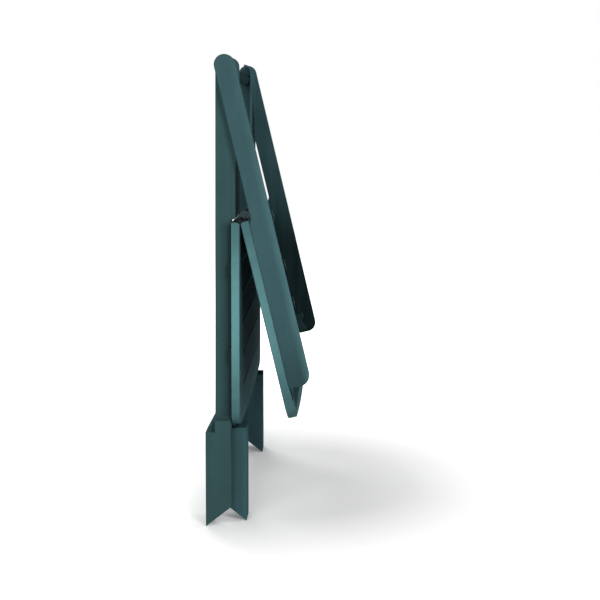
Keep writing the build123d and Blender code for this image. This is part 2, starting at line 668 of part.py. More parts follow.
def fixed_leaf():
    """The leaf over the rails' free ends, with bosses for the cradles."""
    boss_arm = BAR_RADIUS + CRADLE_PLAY + CRADLE_WALL + CRADLE_EAR / 2
    body = leaf()
    for side in (-1, 1):
        z = -BAR_REACH + HINGE_REACH + side * boss_arm
        boss = block(LEAF_SKIN, LEAF_THICK, -CRADLE_Y - CRADLE_WIDTH / 2, -CRADLE_Y + CRADLE_WIDTH / 2,
                     z - CRADLE_EAR / 2, z + CRADLE_EAR / 2)
        body += both(boss)
    body = on_fixed_leaf(body)
    return body - leaf_screws() - cradle_screws()


def leaf_pads():
    """Rest pads under the folding leaf, which settle on the rails when the table stands open."""
    height = LEAF_UNDER - RAIL_HALF - PAD_PLAY
    middle_y = (RAIL_IN_Y + LEAF_HALF_WIDTH) / 2
    pads = []
    for reach in PAD_REACHES:
        pad = block(LEAF_THICK, LEAF_THICK + height, -middle_y - PAD_WIDTH / 2, -middle_y + PAD_WIDTH / 2,
                    -reach - PAD_LENGTH / 2, -reach + PAD_LENGTH / 2)
        pads += both(pad)
    return [on_folding_leaf(pad) for pad in pads]


def pieces():
    """Every named piece of the table, folded."""
    near_leg_a = leg_a()
    near_leg_b = leg_b()
    near_rail = on_top(rail())
    near_cradle = on_top(cradle())
    made = {
        "cross_axle": [cross_axle()],
        "axle_washers": axle_washers(),
        "leg_a_near": [near_leg_a],
        "leg_a_far": [far(near_leg_a)],
        "stretcher_a": [stretcher_a()],
        "rail_pivot_pin_near": [rail_pivot_pin()],
        "rail_pivot_pin_far": [far(rail_pivot_pin())],
        "pivot_washers": pivot_washers(),
        "leg_b_near": [near_leg_b],
        "leg_b_far": [far(near_leg_b)],
        "top_bar": [top_bar()],
        "top_bar_screws": both(bar_screw()),
        "stretcher_b": [stretcher_b()],
        "stretcher_b_screws": stretcher_b_screws(),
        "rail_near": [near_rail],
        "rail_far": [far(near_rail)],
        "fixed_leaf": [fixed_leaf()],
        "leaf_screws": leaf_screws(),
        "cradle_near": [near_cradle],
        "cradle_far": [far(near_cradle)],
        "cradle_screws": cradle_screws(),
        "hinge_pins": hinge_pins(),
        "folding_leaf": [on_folding_leaf(leaf())],
        "leaf_pads": leaf_pads(),
    }
    fixed_screws = []
    moving_screws = []
    for name, y in hinge_places().items():
        made["hinge_fixed_" + name] = [on_fixed_leaf(hinge_fixed(y))]
        made["hinge_moving_" + name] = [on_folding_leaf(hinge_moving(y))]
        fixed_screws += [on_fixed_leaf(item) for item in hinge_screws_at(y)]
        moving_screws += [on_folding_leaf(item) for item in hinge_screws_at(y)]
    made["hinge_screws_fixed"] = fixed_screws
    made["hinge_screws_moving"] = moving_screws
    return made


def main():
    made = pieces()
    every_solid = [solid for group in made.values() for part in group for solid in part.solids()]
    box = Compound(children=every_solid).bounding_box()
    shift = Pos(-(box.min.X + box.max.X) / 2, -(box.min.Y + box.max.Y) / 2, -box.min.Z)
    os.makedirs("parts", exist_ok=True)
    for name, group in made.items():
        solids = [shift * solid for part in group for solid in part.solids()]
        export_step(solids[0] if len(solids) == 1 else Compound(children=solids), "parts/" + name + ".step")
    sole_x = (FOOT_OUT - LEG_NEST) / 2
    sole_z = (FLOOR_Z + FOOT_IN_Z) / 2
    marks = {
        "rail pivot": (0, 0, 0),
        "cross axle": (0, 0, AXLE_Z),
        "leaf hinge": (HINGE_X, 0, HINGE_Z),
        "outer sole": (-sole_x, -(FOOT_A_OUT_Y + LEG_A_IN_Y) / 2, sole_z),
        "inner sole": (sole_x, -(LEG_B_OUT_Y + LEG_B_IN_Y) / 2, sole_z),
    }
    for name, place in marks.items():
        point = (shift * Pos(*place)).position
        print(name, round(point.X, 3), round(point.Y, 3), round(point.Z, 3))
    print("top turn", TOP_TURN, "fold turn", FOLD_TURN)


main()
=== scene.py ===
"""Dresses the folding garden table: green resin, steel fittings, rubber pads and a pale studio floor."""
import math

import bmesh
import bpy
import numpy as np
from mathutils import Matrix, Vector


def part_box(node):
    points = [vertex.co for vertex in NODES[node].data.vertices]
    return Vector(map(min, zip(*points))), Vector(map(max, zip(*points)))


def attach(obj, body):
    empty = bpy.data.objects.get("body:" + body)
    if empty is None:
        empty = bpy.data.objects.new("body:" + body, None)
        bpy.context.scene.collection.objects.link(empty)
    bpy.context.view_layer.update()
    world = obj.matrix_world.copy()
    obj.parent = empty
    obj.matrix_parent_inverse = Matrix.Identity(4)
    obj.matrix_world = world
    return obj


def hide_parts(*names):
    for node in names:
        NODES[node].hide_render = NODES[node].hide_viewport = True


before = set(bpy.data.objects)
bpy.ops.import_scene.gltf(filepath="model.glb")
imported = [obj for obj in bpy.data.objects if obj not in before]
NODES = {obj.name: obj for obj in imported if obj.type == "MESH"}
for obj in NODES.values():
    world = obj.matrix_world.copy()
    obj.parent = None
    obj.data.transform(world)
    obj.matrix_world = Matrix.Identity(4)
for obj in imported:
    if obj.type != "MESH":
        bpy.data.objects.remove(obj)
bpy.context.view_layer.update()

bl_info = {
    "name": "Folding garden table",
    "version": (1, 0, 0),
    "blender": (4, 5, 0),
    "location": "View3D > Sidebar > Garden table",
    "description": "Finishes a folding resin garden table and sets it on a studio floor",
    "category": "Object",
}

OUTER_LEG_NODES = ("leg_a_near", "leg_a_far")
INNER_LEG_NODES = ("leg_b_near", "leg_b_far")
BAR_NODES = ("stretcher_a", "stretcher_b")
RAIL_NODES = ("rail_near", "rail_far")
LEAF_NODES = ("fixed_leaf", "folding_leaf")
# Painted light: each leaf's paler sides are mixed in most half way along, up to the share given, from the
# height given.
LEAF_SIDE_PALENESS_AND_LIGHT = ((0.72, 0.04), (1.0, -0.005))  # how far each leaf's sides have paled, and from which height
CRADLE_NODES = ("cradle_near", "cradle_far")
HINGE_NODES = tuple(
    f"hinge_{half}_{place}" for half in ("fixed", "moving") for place in ("near", "mid", "far")
)
STEEL_NODES = (
    "cross_axle",
    "axle_washers",
    "rail_pivot_pin_near",
    "rail_pivot_pin_far",
    "pivot_washers",
)
SCREW_BODIES = {
    "top_bar_screws": "inner_frame",
    "stretcher_b_screws": "inner_frame",
    "leaf_screws": "top",
    "cradle_screws": "top",
    "hinge_screws_fixed": "top",
    "hinge_screws_moving": "leaf",
}

# Sockets of a Mix node that is set to colours
MIX_FIRST, MIX_SECOND, MIX_RESULT = 6, 7, 2

# Shares of the marks in the colour of the resin, and what rubbing does to it
CLOUD_SHARE = 0.42
STREAK_SHARE = 0.34
RUBBED_SHARE = 0.5
RUBBED_PALENESS = 1.8
RUBBED_POLISH = -0.12

# Reflection of resin and rubber, and of steel, where 0.5 is plain glass
LOW_SHINE = 0.03
STEEL_SHINE = 0.5

# Edge radii of the fittings, in metres, and the rays that round an edge
STEEL_EDGE = 0.0004
RUBBER_EDGE = 0.0008
BEVEL_SAMPLES = 6

# Black steel where it is duller, and a rail's inner face where its painted shade is deepest
BLACK_DULLED = 0.6
DEEP_PAINTED_SHADE = 0.45

# Corners of the frame's screws that count as one, and as one end, in metres
SAME_PLACE = 0.00001
SAME_END = 0.0001

# Screws: shares of the length, of the radius and of the head
PLAIN_SHARE = 0.35
HEAD_BEVEL = 0.05
POINT_LENGTH = 1.6
THREAD_PITCH = 0.9
THREAD_CORE = 0.76
THREAD_STEPS = (THREAD_CORE, 1.0, 1.0 / THREAD_CORE, 1.0)
POINT_STEPS = ((0.15, THREAD_CORE), (0.85, 0.12))
SCREW_SIDES = 28
END_FACE = 0.9
RECESS_ARM = (1.15, 0.24)
RECESS_TAPER = 0.55
RECESS_HEAD_RADIUS = 0.0045
SMOOTH_ANGLE = math.radians(35.0)

# Floor, surroundings and lights
FLOOR_SIDES = 96
FLOOR_INSET = 0.5
FLOOR_PATCH = (0.84, 0.84, 0.84)
AMBIENT = 0.19
WHITE = (1.0, 1.0, 1.0, 1.0)
LIGHTS = (  # name, place, height of the point that it looks at, width and watts
    ("key", (1.3, -3.1, 2.1), 0.5, 0.9, 50.0),
    ("fill", (-0.9, -3.2, 2.1), 0.5, 1.5, 37.0),
    ("back", (-1.2, 3.0, 2.4), 0.4, 1.6, 64.0),
    ("side", (2.9, 0.9, 1.5), 0.4, 1.5, 26.0),
)

# The camera that was fitted to the picture
CAMERA_PLACE = (0.1516, -3.0607, 0.7810)
CAMERA_YAW = math.radians(1.519)
CAMERA_PITCH = math.radians(7.305)
CAMERA_ROLL = math.radians(-0.178)
CAMERA_LENS = 87.97
CAMERA_SENSOR = 36.0


class TableSizes(bpy.types.PropertyGroup):
    """Sizes of the small forms that a maker would change."""

    edge_round: bpy.props.FloatProperty(
        name="Edge rounding",
        description="Radius of the softened mould edges",
        default=0.0013,
        min=0.0,
        subtype="DISTANCE",
        unit="LENGTH",
    )
    grain_pitch: bpy.props.FloatProperty(
        name="Grain pitch",
        description="Spacing of the fine grain in the mould surface",
        default=0.0007,
        min=0.0001,
        subtype="DISTANCE",
        unit="LENGTH",
    )
    rim_reach: bpy.props.FloatProperty(
        name="Leaf side reach",
        description="How far the paler sides of the leaves reach round their corners",
        default=0.031,
        min=0.0,
        subtype="DISTANCE",
        unit="LENGTH",
    )
    leaf_tilt: bpy.props.FloatProperty(
        name="Fixed leaf tilt",
        description="How far the fixed leaf hangs out of the upright when the table is folded",
        default=math.radians(13.533),
        subtype="ANGLE",
        unit="ROTATION",
    )
    recess_depth: bpy.props.FloatProperty(
        name="Driver recess depth",
        description="Depth of the cross recess in a screw head",
        default=0.0011,
        min=0.0,
        subtype="DISTANCE",
        unit="LENGTH",
    )
    floor_radius: bpy.props.FloatProperty(
        name="Floor radius",
        description="Radius of the studio floor",
        default=6.0,
        min=1.0,
        subtype="DISTANCE",
        unit="LENGTH",
    )


def colour(name, description, value):
    """A colour property with its default."""
    return bpy.props.FloatVectorProperty(
        name=name, description=description, default=value, size=3, min=0.0, max=1.0, subtype="COLOR"
    )


class TableColours(bpy.types.PropertyGroup):
    """Colours of the finishes."""

    resin: colour("Resin", "Dark green of the moulded rails and leaves", (0.042, 0.094, 0.105))
    resin_pale: colour("Pale resin", "Resin where flow marks have paled it", (0.062, 0.138, 0.152))
    leg: colour("Leg resin", "Darker green of the moulded legs", (0.033, 0.073, 0.078))
    leg_pale: colour("Pale leg resin", "Leg resin where flow marks have paled it", (0.050, 0.110, 0.114))
    # The leaf side colour is also a painted highlight along a rail's edge, and the leaves mix it in most
    # half way along as painted light.
    rim: colour("Leaf sides", "Sun-paled green of the smooth leaf sides", (0.134, 0.314, 0.325))
    # This dark colour paints shade and shadow onto the legs, rails, leaf hinge ends and cradles; it is not a
    # stain of the resin.
    painted_shade: colour("Stain", "Dark rub marks and the dirt on inner faces", (0.013, 0.026, 0.028))
    hinge: colour("Hinge resin", "Near black green of the hinges", (0.010, 0.017, 0.018))
    bar: colour("Bar resin", "Weathered black green of the top bar", (0.018, 0.034, 0.036))
    steel: colour("Steel", "Zinc plated steel", (0.36, 0.37, 0.37))
    steel_dull: colour("Dull steel", "Steel that has weathered", (0.26, 0.26, 0.25))
    steel_black: colour("Blackened steel", "Pins and screws of the hinges", (0.030, 0.036, 0.036))
    rubber: colour("Pad rubber", "Soft dark green rubber", (0.012, 0.022, 0.024))
    floor: colour("Floor", "Pale studio floor", (0.90, 0.90, 0.90))


def sizes():
    """The sizes held by the scene."""
    return bpy.context.scene.table_sizes


def colours():
    """The colours held by the scene."""
    return bpy.context.scene.table_colours


def add_node(tree, kind, **values):
    """A shader node with its plain settings."""
    node = tree.nodes.new(kind)
    for key, value in values.items():
        setattr(node, key, value)
    return node


def feed(tree, socket, source):
    """Links a socket to another one, or sets it to a plain value."""
    if isinstance(source, bpy.types.NodeSocket):
        tree.links.new(source, socket)
    else:
        socket.default_value = source


def compute(tree, operation, first, second=0.0, third=None):
    """The output of a Math node."""
    node = add_node(tree, "ShaderNodeMath", operation=operation)
    feed(tree, node.inputs[0], first)
    feed(tree, node.inputs[1], second)
    if third is not None:
        feed(tree, node.inputs[2], third)
    return node.outputs[0]


def stretch(tree, value, low, high, to_low=0.0, to_high=1.0):
    """A value taken from one range to another and held inside it."""
    node = add_node(tree, "ShaderNodeMapRange", clamp=True)
    for socket, source in zip(node.inputs, (value, low, high, to_low, to_high)):
        feed(tree, socket, source)
    return node.outputs[0]


def blend_colour(tree, factor, first, second):
    """Two colours mixed by a factor."""
    node = add_node(tree, "ShaderNodeMix", data_type="RGBA")
    feed(tree, node.inputs["Factor"], factor)
    feed(tree, node.inputs[MIX_FIRST], first)
    feed(tree, node.inputs[MIX_SECOND], second)
    return node.outputs[MIX_RESULT]


def noise(tree, vector, scale, detail=2.0, roughness=0.5):
    """A noise value over a vector."""
    node = add_node(tree, "ShaderNodeTexNoise")
    feed(tree, node.inputs["Vector"], vector)
    feed(tree, node.inputs["Scale"], scale)
    feed(tree, node.inputs["Detail"], detail)
    feed(tree, node.inputs["Roughness"], roughness)
    return node.outputs[0]


def new_group(name, inputs, outputs):
    """An empty shader group with named sockets, and its input and output nodes."""
    tree = bpy.data.node_groups.new(name, "ShaderNodeTree")
    for label, kind, value in inputs:
        socket = tree.interface.new_socket(label, in_out="INPUT", socket_type=kind)
        if value is not None:
            socket.default_value = value
    for label, kind in outputs:
        tree.interface.new_socket(label, in_out="OUTPUT", socket_type=kind)
    return tree, tree.nodes.new("NodeGroupInput"), tree.nodes.new("NodeGroupOutput")


def mould_grain_group():
    """Fine spark grain of a mould: a height for the bump and a small change of gloss."""
    found = bpy.data.node_groups.get("mould_grain")
    if found:
        return found
    tree, given, made = new_group(
        "mould_grain",
        [("Vector", "NodeSocketVector", None), ("Scale", "NodeSocketFloat", 1400.0)],
        [("Height", "NodeSocketFloat"), ("Gloss", "NodeSocketFloat")],
    )
    fine = noise(tree, given.outputs["Vector"], given.outputs["Scale"], 3.0, 0.6)
    coarse_scale = compute(tree, "MULTIPLY", given.outputs["Scale"], 0.21)
    coarse = noise(tree, given.outputs["Vector"], coarse_scale, 2.0, 0.5)
    height = compute(tree, "MULTIPLY_ADD", coarse, 0.45, fine)
    feed(tree, made.inputs["Height"], height)
    feed(tree, made.inputs["Gloss"], stretch(tree, coarse, 0.3, 0.7))
    return tree


def flow_marks_group():
    """Cloudy mottle and drawn streaks that a moulding shows along its length."""
    found = bpy.data.node_groups.get("flow_marks")
    if found:
        return found
    tree, given, made = new_group(
        "flow_marks",
        [("Vector", "NodeSocketVector", None), ("Drawn", "NodeSocketVector", (90.0, 90.0, 3.0))],
        [("Tone", "NodeSocketFloat"), ("Streak", "NodeSocketFloat")],
    )
    cloud = noise(tree, given.outputs["Vector"], 9.0, 4.0, 0.55)
    scaled = add_node(tree, "ShaderNodeVectorMath", operation="MULTIPLY")
    feed(tree, scaled.inputs[0], given.outputs["Vector"])
    feed(tree, scaled.inputs[1], given.outputs["Drawn"])
    drawn = noise(tree, scaled.outputs[0], 1.0, 3.0, 0.6)
    feed(tree, made.inputs["Tone"], stretch(tree, cloud, 0.32, 0.70))
    feed(tree, made.inputs["Streak"], stretch(tree, drawn, 0.34, 0.72))
    return tree


def rubbed_edges_group():
    """Rounds the light over sharp edges, and marks where handling has rubbed them."""
    found = bpy.data.node_groups.get("rubbed_edges")
    if found:
        return found
    tree, given, made = new_group(
        "rubbed_edges",
        [("Vector", "NodeSocketVector", None), ("Radius", "NodeSocketFloat", 0.0013)],
        [("Mask", "NodeSocketFloat"), ("Normal", "NodeSocketVector")],
    )
    rounded = add_node(tree, "ShaderNodeBevel", samples=BEVEL_SAMPLES)
    feed(tree, rounded.inputs["Radius"], given.outputs["Radius"])
    flat = add_node(tree, "ShaderNodeNewGeometry")
    turned = add_node(tree, "ShaderNodeVectorMath", operation="DOT_PRODUCT")
    feed(tree, turned.inputs[0], rounded.outputs["Normal"])
    feed(tree, turned.inputs[1], flat.outputs["Normal"])
    edge = stretch(tree, turned.outputs["Value"], 0.995, 0.80)
    patchy = stretch(tree, noise(tree, given.outputs["Vector"], 60.0, 4.0, 0.65), 0.38, 0.62)
    feed(tree, made.inputs["Mask"], compute(tree, "MULTIPLY", edge, patchy))
    feed(tree, made.inputs["Normal"], rounded.outputs["Normal"])
    return tree


def place_group(tree, group, **values):
    """Puts a shared group into a material with its own values."""
    node = add_node(tree, "ShaderNodeGroup", node_tree=group)
    for key, value in values.items():
        feed(tree, node.inputs[key], value)
    return node


def start_material(name):
    """A new material with its Principled shader and its object coordinates."""
    material = bpy.data.materials.new(name)
    material.use_nodes = True
    tree = material.node_tree
    shader = tree.nodes["Principled BSDF"]
    place = add_node(tree, "ShaderNodeTexCoord").outputs["Object"]
    return material, tree, shader, place


def four(rgb):
    """A colour with its alpha."""
    return (*rgb, 1.0)


def times(factor, rgb):
    """A colour made brighter or darker."""
    return [factor * part for part in rgb]


def parts_of(tree, place):
    """The X, Y and Z of a place, as sockets by name."""
    split = add_node(tree, "ShaderNodeSeparateXYZ")
    feed(tree, split.inputs[0], place)
    return split.outputs


def by_mark(tree, amount, mark, faint, strong):
    """An amount that a mark weakens or strengthens from place to place."""
    return compute(tree, "MULTIPLY", amount, stretch(tree, mark, 0.0, 1.0, faint, strong))


def roughen(tree, shader, height, edges, strength, distance):
    """A bump on top of the rounded edges."""
    bump = add_node(tree, "ShaderNodeBump")
    bump.inputs["Strength"].default_value = strength
    bump.inputs["Distance"].default_value = distance
    feed(tree, bump.inputs["Height"], height)
    feed(tree, bump.inputs["Normal"], edges.outputs["Normal"])
    feed(tree, shader.inputs["Normal"], bump.outputs["Normal"])


def seen_directly(tree):
    """One where the eye looks at a surface, directly, mirrored or through glass, and nought elsewhere."""
    rays = add_node(tree, "ShaderNodeLightPath")
    seen = compute(tree, "MAXIMUM", rays.outputs["Is Camera Ray"], rays.outputs["Is Glossy Ray"])
    return compute(tree, "MAXIMUM", seen, rays.outputs["Is Transmission Ray"])


def along(tree, vector, direction):
    """How far a vector goes in a direction."""
    node = add_node(tree, "ShaderNodeVectorMath", operation="DOT_PRODUCT")
    feed(tree, node.inputs[0], vector)
    node.inputs[1].default_value = direction
    return node.outputs["Value"]


def hump(tree, value, low, start, end, high):
    """A value that rises from low to start, stays full, and falls from end to high."""
    rise = add_node(tree, "ShaderNodeMapRange", interpolation_type="SMOOTHSTEP")
    fall = add_node(tree, "ShaderNodeMapRange", interpolation_type="SMOOTHSTEP")
    for node, first, last in ((rise, low, start), (fall, high, end)):
        for socket, source in zip(node.inputs, (value, first, last, 0.0, 1.0)):
            feed(tree, socket, source)
    return compute(tree, "MULTIPLY", rise.outputs[0], fall.outputs[0])


def resin_material(name, base, pale, drawn, roughness, dress=None, shine=LOW_SHINE):
    """Moulded resin: mottled colour, drawn streaks, paler rubbed edges and a fine grain.

    dress adds what only one piece shows: it takes the tree, the place, the marks and the colour so far.
    """
    material, tree, shader, place = start_material(name)
    marks = place_group(tree, flow_marks_group(), Vector=place, Drawn=drawn)
    edges = place_group(tree, rubbed_edges_group(), Vector=place, Radius=sizes().edge_round)
    grain = place_group(tree, mould_grain_group(), Vector=place, Scale=1.0 / sizes().grain_pitch)
    tone = compute(tree, "MULTIPLY", marks.outputs["Tone"], CLOUD_SHARE)
    tone = compute(tree, "MULTIPLY_ADD", marks.outputs["Streak"], STREAK_SHARE, tone)
    shade = blend_colour(tree, tone, four(base), four(pale))
    rubbed = compute(tree, "MULTIPLY", edges.outputs["Mask"], RUBBED_SHARE)
    shade = blend_colour(tree, rubbed, shade, four(times(RUBBED_PALENESS, pale)))
    if dress:
        shade = dress(tree, place, marks, shade)
    feed(tree, shader.inputs["Base Color"], shade)
    rough = stretch(tree, grain.outputs["Gloss"], 0.0, 1.0, roughness - 0.05, roughness + 0.06)
    rough = compute(tree, "MULTIPLY_ADD", edges.outputs["Mask"], RUBBED_POLISH, rough)
    feed(tree, shader.inputs["Roughness"], rough)
    shader.inputs["Specular IOR Level"].default_value = shine
    roughen(tree, shader, grain.outputs["Height"], edges, strength=0.35, distance=0.00012)
    return material


def facing(tree, direction):
    """How far a face looks in a direction."""
    return along(tree, add_node(tree, "ShaderNodeTexCoord").outputs["Normal"], direction)


def inner_face(tree, out):
    """How far a face looks towards the middle of the table, from either side of it."""
    inward = facing(tree, (0.0, -1.0, 0.0))
    inward = compute(tree, "MULTIPLY", inward, compute(tree, "SIGN", out))
    return stretch(tree, inward, 0.5, 0.9)


def painted_leaf_shadow(tree, place, marks, shade):
    """Paints onto an outer leg the shadow that the folded leaf casts beside it."""
    parts = parts_of(tree, place)
    leaf_low, leaf_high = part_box("folding_leaf")
    foot = leaf_low[2] + 0.022
    head = leaf_high[2]
    fade = 0.010
    past_head = 0.008
    reach = 0.026
    full = 0.006
    strength = 0.74
    # Painted shadow: the band of the leg beside the folded leaf darkens towards the leaf.
    beside = hump(tree, parts["Z"], foot, foot + fade, head - fade, head + past_head)
    across = stretch(tree, parts["X"], leaf_low[0] - reach, leaf_low[0] - full)
    amount = compute(tree, "MULTIPLY", beside, across)
    amount = by_mark(tree, amount, marks.outputs["Streak"], 0.95, 0.72)
    return blend_colour(tree, compute(tree, "MULTIPLY", amount, strength), shade, four(colours().painted_shade))


def deep_wall_painted_shade(tree, place, marks, shade):
    """Paints shade onto an inner leg on the side that the top closes over, and low down on its inner face.
    """
    parts = parts_of(tree, place)
    hinge_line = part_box("folding_leaf")[1][2]
    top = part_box("leg_b_near")[1][2]
    above_hinge = (hinge_line - 0.01, hinge_line + 0.02)
    below_top = (top - 0.03, top - 0.12)
    low_down = (top - 0.12, top - 0.26)
    strength = 0.34
    # Painted shade: the side wall above the hinge line, and the inner face lower down, take the dark shade
    # colour.
    beside = stretch(tree, facing(tree, (1.0, 0.0, 0.0)), 0.6, 0.9)
    amount = compute(tree, "MULTIPLY", beside, stretch(tree, parts["Z"], *above_hinge))
    amount = compute(tree, "MULTIPLY", amount, stretch(tree, parts["Z"], *below_top))
    inside = stretch(tree, parts["Z"], *low_down, 0.0, strength)
    inside = compute(tree, "MULTIPLY", inside, inner_face(tree, parts["Y"]))
    amount = compute(tree, "MAXIMUM", amount, inside)
    amount = by_mark(tree, amount, marks.outputs["Tone"], 1.0, 0.85)
    return blend_colour(tree, amount, shade, four(colours().painted_shade))


def rail_painted_light(tree, place, marks, shade):
    """Paints shade onto a rail at its ends and low on its inner face, and paints a highlight along its free
    edge.
    """
    parts = parts_of(tree, place)
    low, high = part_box("rail_near")
    foot, top = low[2], high[2]
    end_fade, end_strength = (foot + 0.15, foot + 0.03), 0.48
    head_fade, head_strength = (top - 0.36, top - 0.02), 0.20
    highlight_width, highlight_line = 0.014, 0.001
    highlight_fade, highlight_strengths = (top - 0.15, top - 0.38), (0.10, 0.32)
    low_fade, low_strength = (top - 0.19, top - 0.42), 0.72
    high_fade, high_strength = (top - 0.06, top - 0.13), 0.22
    inward = inner_face(tree, parts["Y"])
    outward = compute(tree, "SUBTRACT", 1.0, inward)
    # Painted shade: the outer face darkens towards both ends of the rail.
    end = stretch(tree, parts["Z"], *end_fade)
    head = stretch(tree, parts["Z"], *head_fade)
    amount = compute(tree, "MULTIPLY", head, head_strength)
    amount = compute(tree, "MULTIPLY_ADD", end, end_strength, amount)
    amount = compute(tree, "MULTIPLY", amount, outward)
    shade = blend_colour(tree, amount, shade, four(colours().painted_shade))
    # Painted highlight: a band along the rail's free edge takes the leaf side colour, more strongly lower
    # down.
    tilt = sizes().leaf_tilt
    crosswise = Vector((math.cos(tilt), 0.0, math.sin(tilt)))
    edge = max(corner.co.dot(crosswise) for corner in NODES["rail_near"].data.vertices)
    worn = stretch(tree, along(tree, place, crosswise), edge - highlight_width, edge - highlight_line)
    downwards = stretch(tree, parts["Z"], *highlight_fade, *highlight_strengths)
    worn = compute(tree, "MULTIPLY", worn, downwards)
    worn = by_mark(tree, worn, marks.outputs["Streak"], 0.80, 1.0)
    shade = blend_colour(tree, compute(tree, "MULTIPLY", worn, outward), shade, four(colours().rim))
    # Painted shade: the inner face darkens in a deeper shade colour, most of all low down.
    deep = stretch(tree, parts["Z"], *low_fade, 0.0, low_strength)
    shallow = stretch(tree, parts["Z"], *high_fade, 0.0, high_strength)
    inner_shade = compute(tree, "ADD", deep, shallow)
    inner_shade = by_mark(tree, inner_shade, marks.outputs["Streak"], 1.0, 0.86)
    dirt = times(DEEP_PAINTED_SHADE, colours().painted_shade)
    return blend_colour(tree, compute(tree, "MULTIPLY", inward, inner_shade), shade, four(dirt))


def pale_sides_and_painted_light(thickness, share, start):
    """A dress for a leaf: its sides are smooth and paler, by up to share, with painted light brightest half
    way along; painted shade darkens its hinge end.
    """

    def dress(tree, place, marks, shade):
        low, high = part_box("folding_leaf")
        foot, top = low[2], high[2]
        out_to = high[1]
        rim = out_to - sizes().rim_reach
        rim_fade = 0.004
        side_light_band = (foot + start, foot + 0.20, foot + 0.23, top + 0.05)
        least = 0.12
        hinge_band = (top - 0.004, top - 0.001)
        hinge_inset = (out_to - 0.0002, out_to - 0.0012)
        hinge_shade = 0.85
        parts = parts_of(tree, place)
        flat = compute(tree, "ABSOLUTE", facing(tree, thickness))
        side = stretch(tree, flat, 0.55, 0.20)
        out = compute(tree, "ABSOLUTE", parts["Y"])
        side = compute(tree, "MULTIPLY", side, stretch(tree, out, rim - rim_fade, rim))
        # Painted light: the paler sides brighten towards half way along the leaf and dim towards its ends.
        side_light = hump(tree, parts["Z"], *side_light_band)
        side_light = compute(tree, "MULTIPLY_ADD", side_light, share - least, least)
        side_light = by_mark(tree, side_light, marks.outputs["Streak"], 0.88, 1.0)
        paled = blend_colour(tree, side_light, shade, four(colours().rim))
        shade = blend_colour(tree, side, shade, paled)
        # Painted shade: the top few millimetres at the hinge end of the leaf take the dark shade colour.
        painted_hinge_shade = stretch(tree, parts["Z"], *hinge_band)
        painted_hinge_shade = compute(tree, "MULTIPLY", painted_hinge_shade, stretch(tree, out, *hinge_inset))
        painted_hinge_shade = compute(tree, "MULTIPLY", painted_hinge_shade, hinge_shade)
        return blend_colour(tree, painted_hinge_shade, shade, four(colours().painted_shade))

    return dress


def steel_material(name, bright, dull, metal=1.0):
    """Plated or blackened steel, duller in patches and finely pitted."""
    material, tree, shader, place = start_material(name)
    edges = place_group(tree, rubbed_edges_group(), Vector=place, Radius=STEEL_EDGE)
    patches = stretch(tree, noise(tree, place, 170.0, 4.0, 0.6), 0.42, 0.66)
    shade = blend_colour(tree, patches, four(bright), four(dull))
    shade = blend_colour(tree, edges.outputs["Mask"], shade, four(times(1.25, bright)))
    feed(tree, shader.inputs["Base Color"], shade)
    shader.inputs["Metallic"].default_value = metal
    shader.inputs["Specular IOR Level"].default_value = STEEL_SHINE * metal
    feed(tree, shader.inputs["Roughness"], stretch(tree, patches, 0.0, 1.0, 0.38, 0.58))
    pitted = noise(tree, place, 2600.0, 2.0, 0.5)
    roughen(tree, shader, pitted, edges, strength=0.15, distance=0.00005)
    return material


def black_steel(name):
    """Steel blackened all over, as the hinges have it."""
    black = colours().steel_black
    return steel_material(name, black, times(BLACK_DULLED, black), metal=0.0)


def rubber_material(name):
    """Matt rubber, dusty and slightly worn at its edges."""
    material, tree, shader, place = start_material(name)
    edges = place_group(tree, rubbed_edges_group(), Vector=place, Radius=RUBBER_EDGE)
    dusty = stretch(tree, noise(tree, place, 140.0, 5.0, 0.65), 0.45, 0.75, 0.0, 0.5)
    rubber = colours().rubber
    shade = blend_colour(tree, dusty, four(rubber), four(times(1.7, rubber)))
    shade = blend_colour(tree, edges.outputs["Mask"], shade, four(times(2.0, rubber)))
    feed(tree, shader.inputs["Base Color"], shade)
    feed(tree, shader.inputs["Roughness"], stretch(tree, dusty, 0.0, 0.5, 0.78, 0.92))
    shader.inputs["Specular IOR Level"].default_value = LOW_SHINE
    pitted = noise(tree, place, 1900.0, 2.0, 0.5)
    roughen(tree, shader, pitted, edges, strength=0.3, distance=0.0001)
    return material


def finish_nodes(names, material):
    """Gives nodes of the frame their finish."""
    for name in names:
        mesh = NODES[name].data
        mesh.materials.clear()
        mesh.materials.append(material)


def clear_selection():
    """Leaves nothing selected, in object mode."""
    if bpy.context.mode != "OBJECT":
        bpy.ops.object.mode_set(mode="OBJECT")
    bpy.ops.object.select_all(action="DESELECT")


def edit_faces(obj, wanted):
    """Opens a mesh in edit mode with only the wanted faces selected."""
    bpy.context.view_layer.objects.active = obj
    bpy.ops.object.mode_set(mode="EDIT")
    bpy.ops.mesh.select_mode(type="FACE")
    bpy.ops.mesh.select_all(action="DESELECT")
    mesh = bmesh.from_edit_mesh(obj.data)
    for face in mesh.faces:
        face.select_set(wanted(face))
    bmesh.update_edit_mesh(obj.data)


